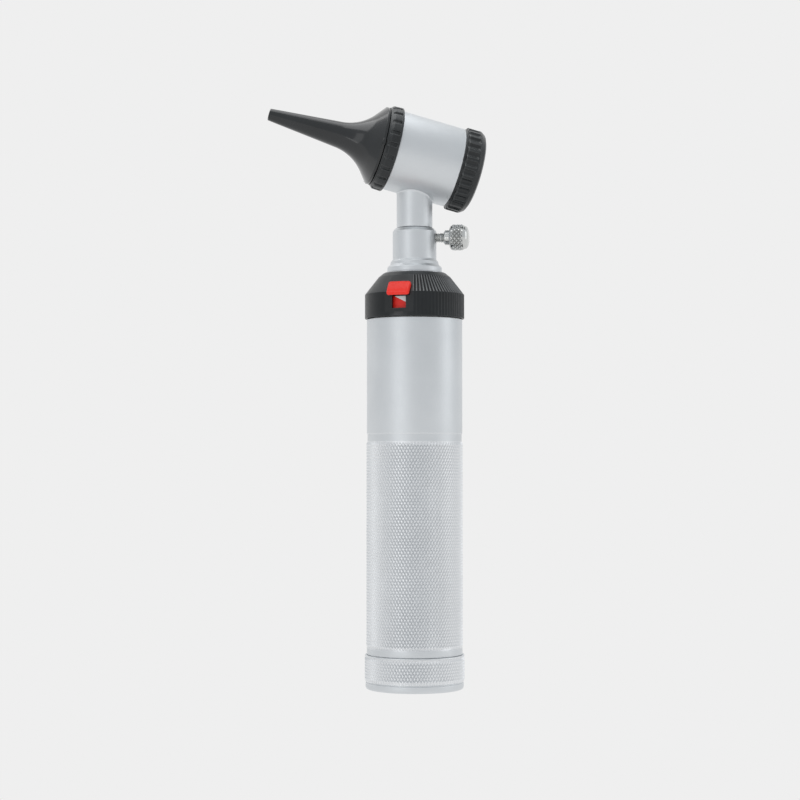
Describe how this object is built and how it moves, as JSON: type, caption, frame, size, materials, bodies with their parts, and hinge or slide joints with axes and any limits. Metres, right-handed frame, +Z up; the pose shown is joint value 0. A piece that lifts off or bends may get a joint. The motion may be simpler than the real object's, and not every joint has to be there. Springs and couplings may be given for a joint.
{
  "type": "otoscope",
  "caption": "Battery-handle otoscope with a dimmer ring, clamped sloping head, pull-off ear funnel and magnifying eyepiece, standing on its flat end cap.",
  "frame": {"origin": "centre of the end cap's flat resting face, on the handle's axis", "axes": "+Z up along the handle's axis; the head's axis lies in the XZ plane, with the speculum towards -X and up and the eyepiece towards +X"},
  "size_m": [0.0662, 0.0306, 0.1758],
  "materials": {
    "satin_aluminium": "satin anodised",
    "bright_nickel": "bright plated",
    "black_matte": "fine matte",
    "black_gloss": "glossy",
    "red_button": "semi-gloss",
    "white_band": "matte",
    "insulator": "matte",
    "brass": "bright",
    "spring_steel": "drawn wire",
    "nickel_steel": "plated",
    "cell_case": "printed sleeve, plain",
    "carbon_track": "matte",
    "clear_glass": "polished",
    "light_fibre": "polished bundle",
    "seal_rubber": "matte"
  },
  "bodies": {
    "handle": {"handle_tube": "satin_aluminium", "lower_cell": "cell_case", "lower_cell_cap": "nickel_steel", "upper_cell": "cell_case", "upper_cell_cap": "nickel_steel", "switch_base": "black_matte", "battery_contact": "brass", "contact_spring": "spring_steel", "contact_insulator": "insulator", "contact_pin": "brass", "rheostat_track": "carbon_track", "indicator_band": "white_band", "indicator_wedge": "red_button", "ring_washer": "insulator", "handle_collar": "satin_aluminium"},
    "tail_pack": {"tail_spring": "spring_steel", "tail_contact_plate": "nickel_steel"},
    "cap": {"end_cap": "satin_aluminium"},
    "dimmer": {"dimmer_ring": "black_matte", "ring_wiper": "brass", "button_spring": "spring_steel"},
    "button": {"lock_button": "red_button"},
    "clamp_pad": {"pressure_pad": "brass"},
    "clamp_screw": {"thumb_screw": "bright_nickel"},
    "lamp_unit": {"lamp_base": "nickel_steel", "lamp_bulb": "clear_glass", "lamp_contact": "brass"},
    "head": {"neck_tube": "satin_aluminium", "barrel": "satin_aluminium", "light_guide": "light_fibre"},
    "nose": {"nosepiece": "black_matte", "fibre_ring": "light_fibre"},
    "nose_ring": {"front_ring": "black_matte"},
    "ear_funnel": {"speculum": "black_gloss"},
    "lens_pack": {"lens": "clear_glass", "lens_gasket": "seal_rubber"},
    "eye_ring": {"eyepiece_ring": "black_matte"}
  },
  "joints": [
    {"name": "tail_advance", "type": "slide", "parent": "handle", "child": "tail_pack", "axis": [0, 0, -1], "range_m": [0, 0.00751]},
    {"name": "cap_turn", "type": "hinge", "parent": "tail_pack", "child": "cap", "pos_m": [0, 0, 0.0052], "axis": [0, 0, -1], "range_deg": [0, 2160]},
    {"name": "dimmer_turn", "type": "hinge", "parent": "handle", "child": "dimmer", "pos_m": [0, 0, 0.118], "axis": [0, 0, -1], "range_deg": [0, 100]},
    {"name": "button_press", "type": "slide", "parent": "dimmer", "child": "button", "axis": [0.4059, 0.6756, -0.6155], "range_m": [0, 0.0008], "stiffness_N_per_m": 300, "springref_m": -0.0005},
    {"name": "clamp_advance", "type": "slide", "parent": "handle", "child": "clamp_pad", "axis": [0.9397, -0.342, 0], "range_m": [0, 0.00151]},
    {"name": "clamp_turn", "type": "hinge", "parent": "clamp_pad", "child": "clamp_screw", "pos_m": [0.01287, -0.00469, 0.1357], "axis": [0.9397, -0.342, 0], "range_deg": [0, 1080]},
    {"name": "head_lift", "type": "slide", "parent": "handle", "child": "lamp_unit", "axis": [0, 0, 1], "range_m": [0, 0.012]},
    {"name": "head_swivel", "type": "hinge", "parent": "lamp_unit", "child": "head", "pos_m": [0, 0, 0.14], "axis": [0, 0, 1], "continuous": true},
    {"name": "front_advance", "type": "slide", "parent": "head", "child": "nose", "axis": [-0.9694, 0, 0.2453], "range_m": [0, 0.00226]},
    {"name": "front_ring_turn", "type": "hinge", "parent": "nose", "child": "nose_ring", "pos_m": [0, 0, 0.16055], "axis": [-0.9694, 0, 0.2453], "range_deg": [0, 1080]},
    {"name": "speculum_pull", "type": "slide", "parent": "nose", "child": "ear_funnel", "axis": [-0.9694, 0, 0.2453], "range_m": [0, 0.022]},
    {"name": "lens_advance", "type": "slide", "parent": "head", "child": "lens_pack", "axis": [0.9694, 0, -0.2453], "range_m": [0, 0.00226]},
    {"name": "eyepiece_turn", "type": "hinge", "parent": "lens_pack", "child": "eye_ring", "pos_m": [0, 0, 0.16055], "axis": [0.9694, 0, -0.2453], "range_deg": [0, 1080]}
  ],
  "couplings": [
    {"joint": "tail_advance", "follows": "cap_turn", "m_per_rad": 0.00019894},
    {"joint": "clamp_advance", "follows": "clamp_turn", "m_per_rad": 0.000079577},
    {"joint": "front_advance", "follows": "front_ring_turn", "m_per_rad": 0.00011937},
    {"joint": "lens_advance", "follows": "eyepiece_turn", "m_per_rad": 0.00011937}
  ]
}
